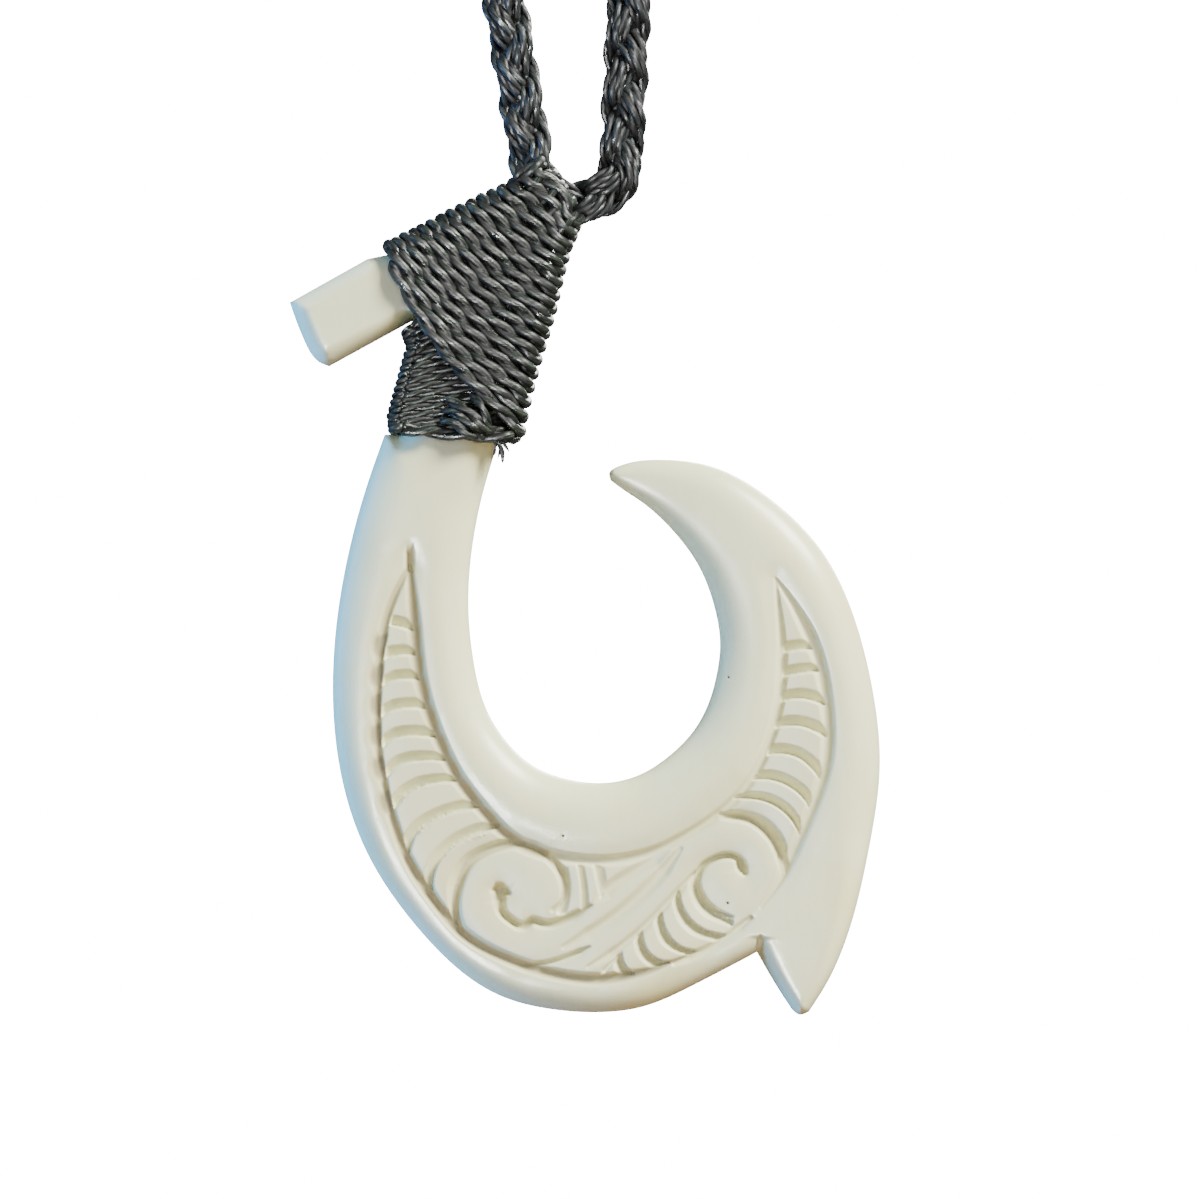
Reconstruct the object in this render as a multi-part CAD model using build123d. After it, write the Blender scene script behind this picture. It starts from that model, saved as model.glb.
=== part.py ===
from build123d import *
import os
from math import cos, pi, radians, sin

# A carved bone fish hook hanging from a braided neck cord.
# Millimetres, +Z up, the carved front faces -Y. The origin is the inner top of the neck loop,
# where the loop rests on whatever holds it, and the hook hangs straight below it.

# Bone hook
HOOK_WIDTH = 45.4
HOOK_HEIGHT = 64.6
BONE_THICKNESS = 5.0
EDGE_ROUND = 1.9
# Where the bone thins out, its corners keep this share of the narrower side
THIN_ROUND_SHARE = 0.42
BARB_THICKNESS = 4.8
HEAD_THICKNESS = 4.6
STUB_ROUND = 0.9
HOOK_LEAN_DEG = 3.4

# Carving on the front
CARVING_DEPTH = 0.7
GROOVE_WIDTH = 0.55
EYE_RADIUS = 0.6

# Waxed cord
WRAP_THICKNESS = 0.95
WRAP_BEVEL = 0.5
BRAID_DIAMETER = 3.5
CLEARANCE = 0.1

# Neck loop: its whole length, how far each side leans outward, the centre line of its lowest bend
NECK_CORD_LENGTH = 620.0
CORD_SPREAD_DEG = 6.1
BEND_RADIUS = 3.45

# Shares of the hook's width (across) and height (up from the barb tip).
# Centre of the neck cord's lowest bend
SEAT_ACROSS = 0.486
SEAT_UP = 1.018

# Cross-sections from below the lashing round the bowl to the point
# inner across, inner up, outer across, outer up, share of the bone's thickness
HOOK_SECTIONS = [
    (0.356, 0.686, 0.161, 0.690, 1.00),
    (0.329, 0.624, 0.127, 0.621, 1.00),
    (0.310, 0.558, 0.100, 0.550, 1.00),
    (0.303, 0.487, 0.081, 0.475, 1.00),
    (0.312, 0.419, 0.073, 0.395, 1.00),
    (0.334, 0.362, 0.083, 0.300, 1.00),
    (0.368, 0.324, 0.127, 0.198, 1.00),
    (0.414, 0.295, 0.220, 0.100, 1.00),
    (0.468, 0.280, 0.359, 0.021, 1.00),
    (0.529, 0.275, 0.525, 0.002, 1.00),
    (0.593, 0.285, 0.678, 0.032, 1.00),
    (0.644, 0.308, 0.805, 0.082, 1.00),
    (0.683, 0.336, 0.910, 0.130, 1.00),
    (0.710, 0.371, 0.980, 0.195, 1.00),
    (0.724, 0.407, 1.000, 0.296, 1.00),
    (0.729, 0.439, 0.990, 0.377, 1.00),
    (0.720, 0.483, 0.958, 0.469, 1.00),
    (0.693, 0.533, 0.902, 0.551, 0.94),
    (0.647, 0.577, 0.819, 0.611, 0.82),
    (0.595, 0.610, 0.715, 0.652, 0.64),
    (0.563, 0.625, 0.619, 0.660, 0.46),
    (0.544, 0.635, 0.556, 0.652, 0.30),
]

# Barb, from inside the bowl to its tip, same columns, shares of the barb's thickness
BARB_SECTIONS = [
    (0.754, 0.106, 0.976, 0.176, 1.00),
    (0.792, 0.075, 0.942, 0.087, 1.00),
    (0.825, 0.033, 0.908, 0.039, 0.88),
    (0.849, 0.004, 0.878, 0.001, 0.50),
]

# Head: stub, bar and the neck of the shank that the lashings cover (across, up)
HEAD_OUTLINE = [
    (0.000, 0.849),
    (0.132, 0.899),
    (0.173, 0.905),
    (0.400, 0.988),
    (0.436, 0.964),
    (0.451, 0.926),
    (0.437, 0.874),
    (0.403, 0.770),
    (0.376, 0.695),
    (0.349, 0.676),
    (0.186, 0.681),
    (0.190, 0.701),
    (0.220, 0.796),
    (0.210, 0.826),
    (0.063, 0.769),
    (0.025, 0.798),
]

# What of the head each lashing covers (across, up)
HEAD_LASHING_BAND = [
    (0.144, 0.913),
    (0.183, 0.850),
    (0.214, 0.810),
    (0.329, 0.729),
    (0.329, 0.682),
    (0.407, 0.675),
    (0.593, 0.675),
    (0.593, 1.064),
    (0.085, 1.064),
]
SHANK_LASHING_BAND = [
    (0.146, 0.687),
    (0.153, 0.731),
    (0.180, 0.794),
    (0.207, 0.806),
    (0.324, 0.726),
    (0.324, 0.687),
]

# Long grooves of the carving (across, up)
LONG_GROOVES = {
    "outer border": [
        (0.202, 0.557),
        (0.166, 0.469),
        (0.144, 0.368),
        (0.156, 0.273),
        (0.197, 0.188),
        (0.275, 0.115),
        (0.381, 0.064),
        (0.497, 0.043),
        (0.610, 0.052),
    ],
    "inner border": [
        (0.202, 0.557),
        (0.212, 0.469),
        (0.239, 0.362),
        (0.290, 0.279),
        (0.369, 0.213),
        (0.475, 0.187),
        (0.593, 0.192),
        (0.703, 0.226),
        (0.785, 0.280),
        (0.829, 0.356),
        (0.836, 0.439),
        (0.820, 0.518),
    ],
    "right border": [
        (0.820, 0.518),
        (0.875, 0.467),
        (0.908, 0.386),
        (0.905, 0.302),
        (0.873, 0.229),
        (0.834, 0.169),
    ],
    "left spiral": [
        (0.292, 0.105),
        (0.281, 0.148),
        (0.315, 0.185),
        (0.380, 0.204),
        (0.437, 0.188),
        (0.464, 0.156),
        (0.446, 0.129),
    ],
    "left curl": [
        (0.353, 0.132),
        (0.373, 0.111),
        (0.412, 0.110),
        (0.461, 0.111),
        (0.512, 0.127),
    ],
    "right spiral": [
        (0.732, 0.235),
        (0.792, 0.224),
        (0.829, 0.193),
        (0.834, 0.164),
    ],
    "right curl": [
        (0.764, 0.168),
        (0.741, 0.189),
        (0.688, 0.169),
        (0.700, 0.133),
        (0.761, 0.118),
    ],
    "stem": [
        (0.505, 0.082),
        (0.580, 0.118),
        (0.631, 0.174),
        (0.668, 0.205),
    ],
    "foot": [
        (0.403, 0.062),
        (0.444, 0.064),
        (0.488, 0.075),
    ],
}
SPIRAL_EYES = [(0.354, 0.144), (0.765, 0.172)]

# Ribs as arcs: start across, start up, end across, end up, bow (share of the width, + is up)
RIB_LINES = [
    (0.168, 0.464, 0.207, 0.456, 0.002),
    (0.158, 0.419, 0.212, 0.425, 0.008),
    (0.151, 0.386, 0.220, 0.396, 0.010),
    (0.151, 0.348, 0.234, 0.361, 0.014),
    (0.154, 0.312, 0.247, 0.327, 0.017),
    (0.164, 0.276, 0.268, 0.300, 0.024),
    (0.180, 0.238, 0.288, 0.275, 0.029),
    (0.202, 0.181, 0.312, 0.246, 0.034),
    (0.249, 0.129, 0.342, 0.221, 0.041),
    (0.836, 0.430, 0.892, 0.433, 0.003),
    (0.836, 0.401, 0.902, 0.402, 0.008),
    (0.831, 0.373, 0.908, 0.364, 0.012),
    (0.819, 0.340, 0.907, 0.324, 0.020),
    (0.808, 0.308, 0.893, 0.275, 0.025),
    (0.786, 0.280, 0.873, 0.235, 0.027),
    (0.769, 0.258, 0.853, 0.200, 0.032),
    (0.563, 0.075, 0.586, 0.049, -0.010),
    (0.598, 0.096, 0.651, 0.063, -0.019),
    (0.631, 0.118, 0.702, 0.077, -0.022),
    (0.659, 0.150, 0.732, 0.099, -0.025),
]

# The neck loop runs round two circles, the lowest bend and the rest at the top, with straight
# sides between them. Its length and lean settle how far apart the circles are.
spread = radians(CORD_SPREAD_DEG)
loop_drop = (NECK_CORD_LENGTH - 2 * pi * BEND_RADIUS) / (
    2 * cos(spread) + (pi + 2 * spread) * sin(spread)
)
rest_radius = BEND_RADIUS + loop_drop * sin(spread)
rest_centre_up = BRAID_DIAMETER / 2 - rest_radius
bend_centre_up = rest_centre_up - loop_drop

# The hook's own plane, with its origin at the left of the stub, level with the barb tip.
# It leans so that the hook's weight hangs under the middle of the two cord sides.
lean = radians(HOOK_LEAN_DEG)
across_axis = Vector(cos(lean), 0, -sin(lean))
up_axis = Vector(sin(lean), 0, cos(lean))
hook_origin = (
    Vector(0, 0, bend_centre_up)
    - across_axis * (SEAT_ACROSS * HOOK_WIDTH)
    - up_axis * (SEAT_UP * HOOK_HEIGHT)
)
hook_plane = Plane(origin=hook_origin, x_dir=across_axis, z_dir=(0, -1, 0))


def on_hook(across, up):
    """The point of the hook's plane at these shares of its width and height."""
    return Vector(across * HOOK_WIDTH, up * HOOK_HEIGHT)


def hook_outline(shares):
    """The closed straight-sided shape through these points of the hook's plane."""
    return Polygon(*[on_hook(*row) for row in shares], align=None)


def cross_section(row, thickness, grow=0.0):
    """A rounded rectangle that stands across the hook, from its inner to its outer edge."""
    inner_across, inner_up, outer_across, outer_up, thickness_share = row
    inner = hook_plane.from_local_coords(on_hook(inner_across, inner_up))
    outer = hook_plane.from_local_coords(on_hook(outer_across, outer_up))
    width = (outer - inner).length + 2 * grow
    depth = thickness * thickness_share + 2 * grow
    corner = min(EDGE_ROUND, THIN_ROUND_SHARE * width, THIN_ROUND_SHARE * depth)
    direction = (outer - inner).normalized()
    plane = Plane(
        origin=(inner + outer) * 0.5,
        x_dir=direction,
        z_dir=direction.cross(Vector(0, 1, 0)),
    )
    return plane * RectangleRounded(width, depth, corner)


def plate(outline, thickness):
    """An upright plate of this outline, centred on the hook's plane."""
    return extrude(hook_plane * outline, thickness / 2, both=True)


def cutter(shape):
    """What cuts this flat shape into the front of the bone, down to the carving's floor."""
    floor = hook_plane.offset(BONE_THICKNESS / 2 - CARVING_DEPTH)
    return extrude(floor * shape, BONE_THICKNESS)


def carving():
    """All lines of the carved panel as one flat shape: borders, spirals, ribs and eyes."""
    lines = [Spline(*[on_hook(*row) for row in shares]) for shares in LONG_GROOVES.values()]
    for start_across, start_up, end_across, end_up, bow in RIB_LINES:
        start = on_hook(start_across, start_up)
        end = on_hook(end_across, end_up)
        lines.append(SagittaArc(start, end, bow * HOOK_WIDTH))
    shapes = [trace(line, GROOVE_WIDTH) for line in lines]
    for row in SPIRAL_EYES:
        centre = on_hook(*row)
        shapes.append(Pos(centre.X, centre.Y) * Circle(EYE_RADIUS))
    return shapes[0] + shapes[1:]


def neck_path():
    """The closed centre line of the neck loop."""
    normal_across = cos(spread)
    normal_up = -sin(spread)
    bend_side = (BEND_RADIUS * normal_across, bend_centre_up + BEND_RADIUS * normal_up)
    rest_side = (rest_radius * normal_across, rest_centre_up + rest_radius * normal_up)
    right_low = Vector(bend_side[0], 0, bend_side[1])
    right_high = Vector(rest_side[0], 0, rest_side[1])
    left_low = Vector(-bend_side[0], 0, bend_side[1])
    left_high = Vector(-rest_side[0], 0, rest_side[1])
    top = Vector(0, 0, rest_centre_up + rest_radius)
    bottom = Vector(0, 0, bend_centre_up - BEND_RADIUS)
    return Wire(
        [
            Edge.make_line(right_low, right_high),
            Edge.make_three_point_arc(right_high, top, left_high),
            Edge.make_line(left_high, left_low),
            Edge.make_three_point_arc(left_low, bottom, right_low),
        ]
    )


def neck_tube(diameter):
    """The neck loop as one round tube, without ends."""
    path = neck_path()
    start = path.location_at(0)
    profile = Plane(origin=start.position, z_dir=path.tangent_at(0)) * Circle(diameter / 2)
    return sweep(profile, path)


def seat_cutter():
    """A round bar through the head that leaves the seat of the neck cord's lowest bend."""
    radius = BEND_RADIUS + BRAID_DIAMETER / 2 + CLEARANCE
    disc = Circle(radius)
    centre = on_hook(SEAT_ACROSS, SEAT_UP)
    return extrude(hook_plane * Pos(centre.X, centre.Y) * disc, HEAD_THICKNESS, both=True)


def hook_blank(grow=0.0):
    """The bone before it is carved, or the room that it needs when grown on every side."""
    sections = [cross_section(row, BONE_THICKNESS, grow) for row in HOOK_SECTIONS]
    if grow > 0:
        sections[0] = Pos(up_axis * grow) * sections[0]
    return loft(sections)


def head(grow=0.0):
    """The flat head with its stub, or the room that it needs when grown on every side."""
    outline = hook_outline(HEAD_OUTLINE)
    if grow > 0:
        outline = offset(outline, grow)
    return plate(outline, HEAD_THICKNESS + 2 * grow)


def bone_hook():
    """Hook, barb and head as one solid with the carving cut into its front."""
    barb = loft([cross_section(row, BARB_THICKNESS) for row in BARB_SECTIONS])
    rounded_head = fillet(head().edges().filter_by(Axis.Y, reverse=True), STUB_ROUND)
    blank = hook_blank() + barb + (rounded_head - seat_cutter())
    return blank - cutter(carving())


def lashing(band):
    """A whipping of one cord's thickness round the part of the head that its band covers."""
    wall = WRAP_THICKNESS + CLEARANCE
    half_depth = HEAD_THICKNESS / 2 + wall
    wide = offset(hook_outline(HEAD_OUTLINE), wall)
    narrow = offset(hook_outline(HEAD_OUTLINE), wall - WRAP_BEVEL)
    layers = [
        hook_plane.offset(-half_depth) * narrow,
        hook_plane.offset(WRAP_BEVEL - half_depth) * wide,
        hook_plane.offset(half_depth - WRAP_BEVEL) * wide,
        hook_plane.offset(half_depth) * narrow,
    ]
    band_plate = plate(hook_outline(band), 2 * (half_depth + CLEARANCE))
    block = loft(layers, ruled=True) & band_plate
    hollow = block - head(CLEARANCE) - hook_blank(CLEARANCE)
    return hollow - neck_tube(BRAID_DIAMETER + 2 * CLEARANCE)


def main():
    os.makedirs("parts", exist_ok=True)
    nodes = {
        "bone_hook": bone_hook(),
        "head_lashing": lashing(HEAD_LASHING_BAND),
        "shank_lashing": lashing(SHANK_LASHING_BAND),
        "neck_cord": neck_tube(BRAID_DIAMETER),
    }
    for name, solid in nodes.items():
        export_step(solid, f"parts/{name}.step")
        print(name, round(solid.volume, 1), "mm3")
    print("neck loop: lowest bend radius", round(BEND_RADIUS, 2), "mm")
    print("neck loop: radius at the rest", round(rest_radius, 2), "mm")


main()
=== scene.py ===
from math import ceil, cos, pi, radians, sin

import bpy
import numpy as np
from mathutils import Matrix, Vector
from mathutils.geometry import delaunay_2d_cdt
from mathutils.kdtree import KDTree


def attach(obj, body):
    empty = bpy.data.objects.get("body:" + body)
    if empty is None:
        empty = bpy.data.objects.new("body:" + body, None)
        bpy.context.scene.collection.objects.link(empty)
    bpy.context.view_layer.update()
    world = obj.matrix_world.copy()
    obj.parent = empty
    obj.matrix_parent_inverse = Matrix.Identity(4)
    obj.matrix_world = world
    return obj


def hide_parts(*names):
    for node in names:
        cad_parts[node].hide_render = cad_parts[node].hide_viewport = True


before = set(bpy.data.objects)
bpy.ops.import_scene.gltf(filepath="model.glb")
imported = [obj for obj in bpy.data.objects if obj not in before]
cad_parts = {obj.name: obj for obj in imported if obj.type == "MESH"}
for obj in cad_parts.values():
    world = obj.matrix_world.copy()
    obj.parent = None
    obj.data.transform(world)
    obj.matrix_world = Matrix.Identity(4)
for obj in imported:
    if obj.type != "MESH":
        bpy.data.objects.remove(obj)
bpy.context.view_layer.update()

# A carved bone fish hook, lashed with black waxed cord to a braided neck loop.
# Lengths are millimetres until a mesh is made. The hook's own plane has its origin at the centre
# of the neck cord's lowest bend, across to the right and up along the hook.
MM = 0.001

# The same sizes as the solids have
HOOK_WIDTH = 45.4
HOOK_HEIGHT = 64.6
BONE_THICKNESS = 5.0
HEAD_THICKNESS = 4.6
HOOK_LEAN_DEG = 3.4
WRAP_THICKNESS = 0.95
CLEARANCE = 0.1
BRAID_DIAMETER = 3.5
NECK_CORD_LENGTH = 620.0
CORD_SPREAD_DEG = 6.1
BEND_RADIUS = 3.45
SEAT_ACROSS = 0.486
SEAT_UP = 1.018

# The lines below are in drawing units: 13 to the millimetre, x to the right, y down,
# with the centre of the neck cord's lowest bend at this point of the drawing.
UNITS_PER_MM = 13.0
DRAWN_BEND = (576.5, 159.0)

# Outline of the hook, in shares of its width and height: inner edge from the lashing to the point
INNER_EDGE = [
    (0.356, 0.686), (0.329, 0.624), (0.310, 0.558), (0.303, 0.487), (0.312, 0.419),
    (0.334, 0.362), (0.368, 0.324), (0.414, 0.295), (0.468, 0.280), (0.529, 0.275),
    (0.593, 0.285), (0.644, 0.308), (0.683, 0.336), (0.710, 0.371), (0.724, 0.407),
    (0.729, 0.439), (0.720, 0.483), (0.693, 0.533), (0.647, 0.577), (0.595, 0.610),
    (0.563, 0.625), (0.544, 0.635),
]
# From the point over the back of the hook to the tip of the barb
BACK_EDGE = [
    (0.544, 0.635), (0.541, 0.644), (0.556, 0.652), (0.619, 0.660), (0.715, 0.652),
    (0.819, 0.611), (0.902, 0.551), (0.958, 0.469), (0.990, 0.377), (1.000, 0.296),
    (0.983, 0.202), (0.942, 0.087), (0.908, 0.034), (0.880, 0.003),
]
BARB_TIP = [(0.880, 0.003), (0.864, -0.001), (0.850, 0.006)]
BARB_INSIDE = [(0.850, 0.006), (0.825, 0.033), (0.7915, 0.0735)]
# From the notch of the barb under the bowl and up the outside of the shank
OUTER_EDGE = [
    (0.7915, 0.0735), (0.678, 0.032), (0.595, 0.008), (0.525, 0.002), (0.440, 0.006),
    (0.359, 0.021), (0.220, 0.100), (0.127, 0.198), (0.083, 0.300), (0.073, 0.395),
    (0.081, 0.475), (0.100, 0.550), (0.127, 0.621), (0.161, 0.690),
]
# Straight edges of the neck of the shank and of the stub
STUB_EDGES = [
    (0.161, 0.690), (0.188, 0.690), (0.220, 0.796), (0.210, 0.826), (0.067, 0.771),
]
STUB_END = [(0.067, 0.771), (0.052, 0.775), (0.025, 0.801), (0.009, 0.829), (0.000, 0.847)]
HEAD_EDGES = [
    (0.000, 0.847), (0.132, 0.899), (0.173, 0.905), (0.400, 0.988), (0.436, 0.964),
    (0.451, 0.926), (0.437, 0.874), (0.403, 0.770), (0.376, 0.695), (0.356, 0.686),
]

# How thick the bone is and how far in its edge is rounded: across, up, share of the thickness,
# rounding in millimetres
BODY_POINTS = [
    (0.26, 0.688, 1.00, 3.0), (0.21, 0.590, 1.00, 3.8), (0.19, 0.480, 1.00, 4.2),
    (0.20, 0.380, 1.00, 4.2), (0.24, 0.280, 1.00, 4.2), (0.33, 0.180, 1.00, 4.2),
    (0.45, 0.130, 1.00, 4.0), (0.58, 0.140, 1.00, 3.8), (0.70, 0.160, 1.00, 3.2),
    (0.83, 0.220, 1.00, 3.2), (0.86, 0.320, 1.00, 3.6), (0.86, 0.400, 1.00, 3.8),
    (0.84, 0.480, 0.99, 3.8), (0.79, 0.540, 0.93, 3.4), (0.73, 0.595, 0.80, 2.7),
    (0.655, 0.631, 0.62, 2.0), (0.590, 0.643, 0.45, 1.3), (0.550, 0.644, 0.30, 0.8),
    (0.87, 0.130, 0.98, 1.8), (0.868, 0.080, 0.95, 1.5), (0.866, 0.035, 0.90, 1.2),
    (0.864, 0.006, 0.84, 1.0), (0.28, 0.720, 0.92, 1.0), (0.30, 0.830, 0.92, 1.0),
    (0.40, 0.900, 0.92, 1.0), (0.20, 0.860, 0.92, 1.2), (0.10, 0.830, 0.92, 1.3),
    (0.03, 0.820, 0.90, 1.6),
]
# Each of them counts for about this many millimetres round it
BODY_BLEND = 3.2
# The rim lies lower by this share of half the thickness; rings of points are this far inside it
EDGE_DROP = 0.9
EDGE_RINGS = [0.0, 0.05, 0.13, 0.24, 0.38, 0.56, 0.78, 1.05, 1.37, 1.75, 2.2, 2.7]

# Carved lines in drawing units: the points, half the width at the start, along it and at the end,
# the depth in millimetres and how brown it is painted, as dirt and as the shade in it (1 is brown,
# 2 deep brown)
GROOVES = [
    # the tip of the left panel and its outer border, round under the left spiral
    ([(409, 542), (410, 555), (410, 570)], 1.2, 4.4, 4.4, 0.46, 1.0),
    ([(410, 568), (401, 583), (393, 600), (386, 622), (382, 646), (379, 672), (378, 700),
      (378, 730), (380, 757), (385, 784), (392, 813), (401, 841)], 3.6, 4.6, 6.0, 0.32, 1.0),
    ([(392, 813), (401, 841), (412, 865), (426, 887), (443, 910), (462, 931), (480, 944),
      (502, 955), (530, 966), (560, 974), (600, 978), (625, 975), (650, 969), (668, 962),
      (686, 954)], 4.6, 6.2, 1.5, 0.42, 1.15),
    # the inner border, down the shank and along the bowl
    ([(410, 566), (413, 600), (416, 640), (421, 680), (431, 717), (445, 752), (460, 780),
      (480, 806), (500, 828), (520, 843), (545, 853)], 3.8, 7.0, 6.4, 0.42, 1.15),
    ([(545, 853), (570, 858), (600, 860), (630, 857), (655, 850), (680, 838), (705, 823),
      (730, 803), (750, 779), (765, 750), (776, 715), (781, 680), (781, 640), (777, 600),
      (775, 579)], 6.0, 5.4, 1.5, 0.40, 0.40),
    # the outer border of the right limb
    ([(775, 579), (790, 601), (806, 630), (818, 662), (825, 700), (827, 735), (824, 765),
      (815, 795), (803, 825), (790, 855), (776, 884), (760, 906)], 2.0, 7.0, 2.0, 0.38, 0.35),
    # the left spiral
    ([(462, 931), (457, 915), (456, 900), (460, 880), (469, 863), (483, 853), (500, 846),
      (518, 843), (535, 847), (550, 857), (561, 870), (565, 886), (562, 900),
      (553, 909)], 4.4, 5.2, 2.4, 0.55, 0.85),
    # the eye of the left spiral and its tail
    ([(494, 889), (501, 888), (508, 892)], 3.0, 4.0, 3.0, 0.66, 0.7),
    ([(499, 889), (500, 902)], 7.0, 6.0, 4.0, 0.66, 0.9),
    ([(501, 893), (500, 903), (503, 912), (512, 920), (524, 925), (533, 920), (541, 922),
      (551, 923), (562, 920), (577, 913), (592, 904)], 6.4, 4.6, 1.8, 0.56, 0.7),
    ([(524, 964), (545, 962), (560, 958), (580, 950), (590, 945)], 3.0, 2.6, 1.0, 0.50, 0.4),
    # the right spiral
    ([(716, 816), (732, 816), (748, 819), (763, 829), (774, 843), (780, 858),
      (782, 874)], 2.0, 4.2, 2.0, 0.70, 0.8),
    ([(732, 916), (722, 913), (710, 907), (700, 894), (696, 880), (700, 868), (714, 858),
      (729, 855), (741, 861), (744, 872)], 1.5, 3.6, 3.0, 0.70, 0.6),
    ([(739, 861), (741, 869)], 4.4, 4.8, 4.0, 0.75, 0.7),
    # the soft lines of the stem between the spirals
    ([(594, 902), (612, 886), (634, 872), (668, 849)], 3.0, 8.0, 3.0, 0.30, 0.12),
    ([(564, 946), (594, 930), (632, 902), (660, 874), (680, 848)], 3.0, 7.0, 3.0, 0.30, 0.12),
    ([(588, 966), (612, 952), (640, 930), (666, 904), (695, 872)], 2.0, 4.4, 3.0, 0.30, 0.15),
    ([(600, 974), (612, 962), (622, 950)], 1.0, 2.6, 1.0, 0.34, 0.20),
    # the low edge of the panel up to the barb
    ([(674, 962), (700, 951), (724, 938), (750, 917)], 3.0, 4.6, 3.0, 0.30, 0.12),
    # the short cut above the notch of the barb
    ([(758, 955), (759, 945), (760, 934)], 6.0, 4.4, 1.0, 0.40, 0.45),
]

# Where along a line its three widths hold, in shares of its length
WIDTH_STATIONS = [0, 0.18, 0.82, 1]
# Its wall and its brown fade out between these shares of half its width
GROOVE_WALL = (0.25, 1.25)
GROOVE_BROWN = (0.35, 1.35)
# Its rounded shoulders: their share of its depth, and how fast they fade out
SHOULDER_SHARE = 0.6
SHOULDER_REACH = 1.2

# Pockets where the outer border was cut wider beside the end of each rib, with half their width
# in drawing units, the same values as a line has, and how far into the panel they fade out
# The pockets are painted deep brown, as dirt and as the shade in them
POCKETS = [
    [(387, 645), (387, 648)], [(385, 674), (384, 677)], [(384, 703), (384, 706)],
    [(384, 733), (384, 736)], [(386, 765), (387, 768)], [(393, 799), (394, 802)],
]
POCKET_WIDTH = 15.5
POCKET_DEPTH = 0.32
POCKET_DIRT_AND_SHADE = 1.6
POCKET_WALL = (0.2, 1.2)
POCKET_BROWN = (0.5, 1.15)
POCKET_END = (0.0, 0.25)

# Rows of ribs that overlap like shingles, in drawing units. Each row: the field that it fills,
# how strongly it is cut, and the sharp edges of its ribs in order. A rib is high behind its own
# edge and sinks towards the next one.
RIB_ROWS = [
    (
        [(409, 572), (396, 603), (386, 649), (382, 705), (383, 750), (395, 811), (413, 862),
         (445, 908), (461, 930), (456, 905), (460, 880), (469, 863), (483, 853), (512, 842),
         (480, 806), (448, 760), (431, 717), (421, 680), (415, 630)],
        1.0,
        [[(386, 624), (398, 626), (414, 631)],
         [(379, 666), (387, 658), (398, 655), (420, 655)],
         [(377, 693), (385, 684), (394, 680), (424, 680)],
         [(376, 724), (385, 714), (397, 709), (432, 709)],
         [(377, 756), (386, 744), (398, 737), (412, 735), (440, 738)],
         [(383, 786), (392, 771), (405, 763), (421, 760), (452, 761)],
         [(391, 815), (402, 799), (415, 789), (431, 783), (462, 781)],
         [(409, 866), (411, 846), (420, 830), (437, 818), (482, 806)],
         [(440, 911), (433, 887), (437, 866), (452, 847), (500, 826)],
         [(461, 931), (456, 905), (460, 880), (469, 863), (483, 853), (512, 843)]],
    ),
    (
        [(776, 584), (781, 640), (780, 690), (770, 738), (750, 779), (716, 816), (748, 819),
         (763, 829), (774, 843), (780, 858), (783, 874), (803, 825), (824, 765), (827, 735),
         (824, 695), (812, 645), (792, 605)],
        1.0,
        [[(778, 653), (795, 650), (818, 649)],
         [(778, 677), (796, 673), (822, 671)],
         [(777, 702), (796, 698), (827, 706)],
         [(768, 729), (788, 725), (805, 727), (830, 740)],
         [(758, 756), (778, 753), (797, 757), (811, 768), (826, 790)],
         [(745, 780), (768, 779), (790, 787), (805, 801), (813, 822)],
         [(733, 798), (762, 800), (785, 813), (797, 830), (802, 850)],
         [(714, 817), (740, 818), (760, 826), (774, 842), (780, 858), (781, 880)]],
    ),
    (
        [(612, 962), (636, 934), (664, 906), (697, 871), (696, 880), (700, 894), (710, 907),
         (723, 914), (733, 919), (732, 928), (720, 939), (698, 951), (672, 962), (640, 973),
         (618, 976)],
        1.0,
        [[(638, 976), (624, 963), (620, 946)],
         [(682, 962), (659, 959), (646, 948), (641, 927)],
         [(706, 951), (681, 946), (667, 932), (660, 908)],
         [(732, 935), (699, 926), (684, 910), (677, 883)],
         [(744, 923), (722, 915), (706, 905), (696, 888), (697, 864)]],
    ),
    (
        [(563, 866), (600, 863), (618, 872), (604, 897), (580, 911), (556, 912), (562, 900),
         (565, 886)],
        0.55,
        [[(592, 852), (597, 880), (604, 908)],
         [(575, 852), (581, 884), (581, 918)],
         [(556, 854), (564, 888), (555, 916)]],
    ),
]
# How far a rib sinks towards the next edge, how much deeper the cut there is, and how much browner
# it is painted, as dirt and as the shade in the cut
RIB_FALL = 0.18
RIB_CUT = 0.64
RIB_DIRT_AND_SHADE = 0.5
# The cut has this share of the rib's width, between these limits
CUT_SHARE = 0.40
CUT_WIDTHS = (0.3, 0.8)
# Out of the cut the next rib rises in a steep lip
LIP_DEPTH = 0.74
LIP_WIDTH = 0.11
# The first rib of a row has no edge behind it, so its width and its share of the fall are given
FIRST_RIB_PITCH = 2.2
FIRST_RIB_FALL = 0.6
# A row fades out this close to the border of its field
RIB_FADE = 0.2

# The whole carved panel lies a little lower than the rims, which slope down to it, and is painted
# a little darker as the shade in its recess
PANEL = [
    (409, 572), (395, 602), (384, 648), (380, 705), (381, 750), (393, 812), (412, 864),
    (443, 910), (480, 944), (530, 966), (600, 978), (650, 969), (698, 951), (746, 920),
    (778, 885), (803, 825), (824, 765), (827, 735), (824, 695), (812, 645), (792, 605),
    (776, 580), (781, 640), (776, 715), (750, 779), (705, 823), (655, 850), (600, 860),
    (545, 853), (500, 828), (460, 780), (431, 717), (416, 640), (410, 572),
]
PANEL_RECESS = 0.20
PANEL_SHADE = 0.2
# Where, in millimetres inside its border, the slope and the painted shade begin and are complete
RIM_SLOPE = (-2.0, 0.1)
PANEL_SHADE_EDGE = (-0.2, 0.3)
# At the hook's own rim the carving keeps this share of its depth, and all of it further in
DEPTH_AT_RIM = 0.65
FULL_DEPTH = (0.1, 1.2)

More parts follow.
